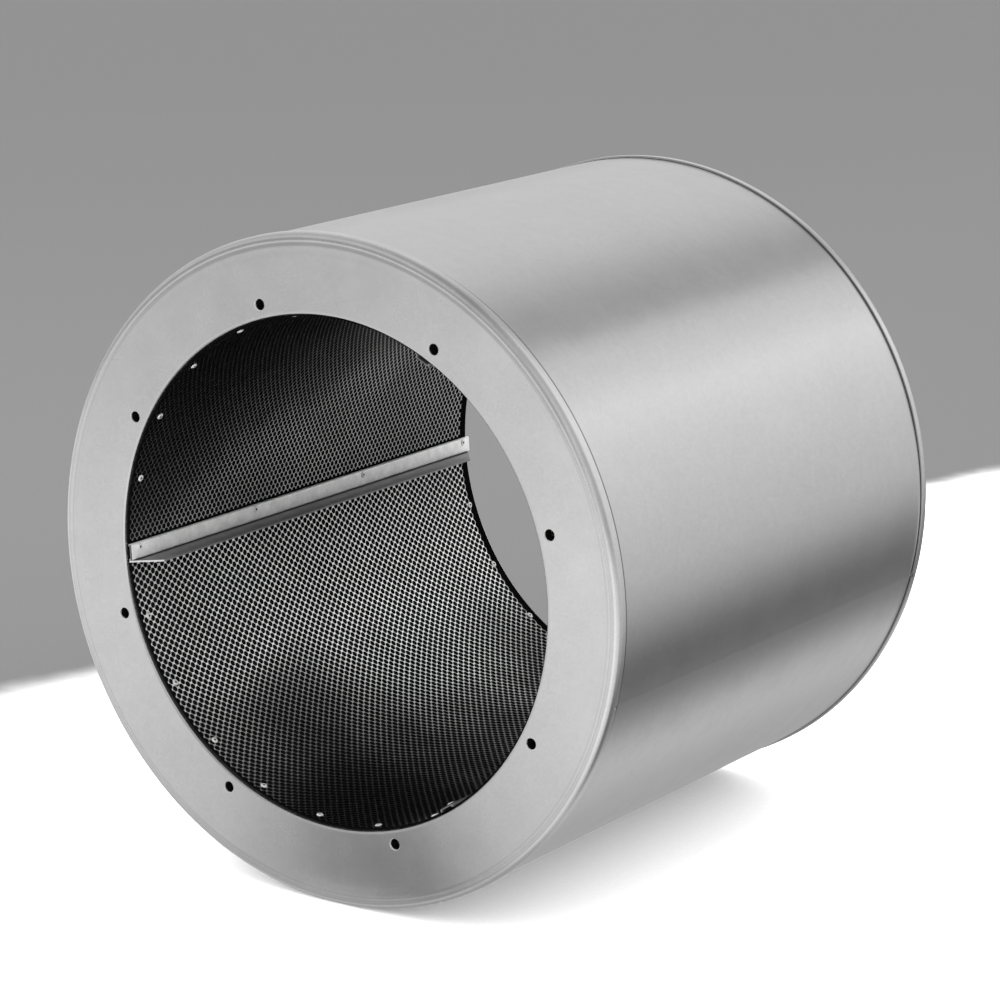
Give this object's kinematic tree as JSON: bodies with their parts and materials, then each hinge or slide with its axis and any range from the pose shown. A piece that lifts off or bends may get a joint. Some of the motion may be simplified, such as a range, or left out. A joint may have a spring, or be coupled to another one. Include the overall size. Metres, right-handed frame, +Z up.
{
  "type": "duct sound attenuator",
  "caption": "Round straight-through silencer: flanged sheet-steel casing round a perforated, wool-backed airway, with a bolt ring at each end.",
  "frame": {"origin": "centre of the front flange's outer face, on the airway's axis", "axes": "+Y along the airway from the front face to the rear face, +Z up as it stands in the picture, +X to the right as seen from the front"},
  "size_m": [0.524, 0.466, 0.5239],
  "materials": {
    "galvanised_flange": "hot-dip galvanised sheet, satin",
    "galvanised_casing": "hot-dip galvanised sheet, satin, rolled",
    "perforated_sheet": "galvanised perforated sheet",
    "galvanised_trim": "galvanised sheet, folded",
    "zinc_plated_nut": "zinc plated",
    "black_tissue": "black glass tissue, matt",
    "mineral_wool": "mineral wool batt"
  },
  "bodies": {
    "root": {"front_end_ring": "galvanised_flange", "rear_end_ring": "galvanised_flange", "casing_shell": "galvanised_casing", "casing_seam_strip": "galvanised_casing", "liner_sheet_upper": "perforated_sheet", "liner_sheet_right": "perforated_sheet", "liner_sheet_lower": "perforated_sheet", "tissue_upper": "black_tissue", "tissue_right": "black_tissue", "tissue_lower": "black_tissue", "wool_batt_upper": "mineral_wool", "wool_batt_right": "mineral_wool", "wool_batt_lower": "mineral_wool", "seam_channel_left": "galvanised_trim", "seam_channel_top_right": "galvanised_trim", "seam_channel_bottom_right": "galvanised_trim", "seam_fin": "galvanised_trim", "front_weld_nuts": "zinc_plated_nut", "rear_weld_nuts": "zinc_plated_nut"}
  },
  "joints": []
}
